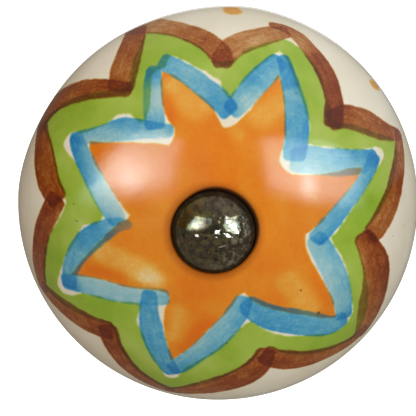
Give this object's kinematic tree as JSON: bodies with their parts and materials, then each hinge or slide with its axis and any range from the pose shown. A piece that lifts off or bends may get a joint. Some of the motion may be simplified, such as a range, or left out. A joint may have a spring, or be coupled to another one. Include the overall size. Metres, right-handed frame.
{
  "type": "cabinet knob",
  "caption": "Round domed cabinet knob of painted glazed ceramic, with a domed bolt head at the crown, a pressed collar behind and a threaded stud through the door.",
  "frame": {"origin": "centre of the collar's rear face, where the stud's axis meets the door's face", "axes": "+Y along the stud into the door, -Y out of the crown, +Z towards the top of the painted flower"},
  "size_m": [0.04, 0.063, 0.04],
  "materials": {
    "painted_glaze": "cream glaze with a hand-painted flower, glossy",
    "antique_brass": "antique, darkened and pitted",
    "plated_steel": "zinc plated"
  },
  "bodies": {
    "root": {"knob_body": "painted_glaze", "domed_bolt": "antique_brass", "back_collar": "antique_brass", "plain_washer": "plated_steel", "retaining_nut": "plated_steel"}
  },
  "joints": []
}
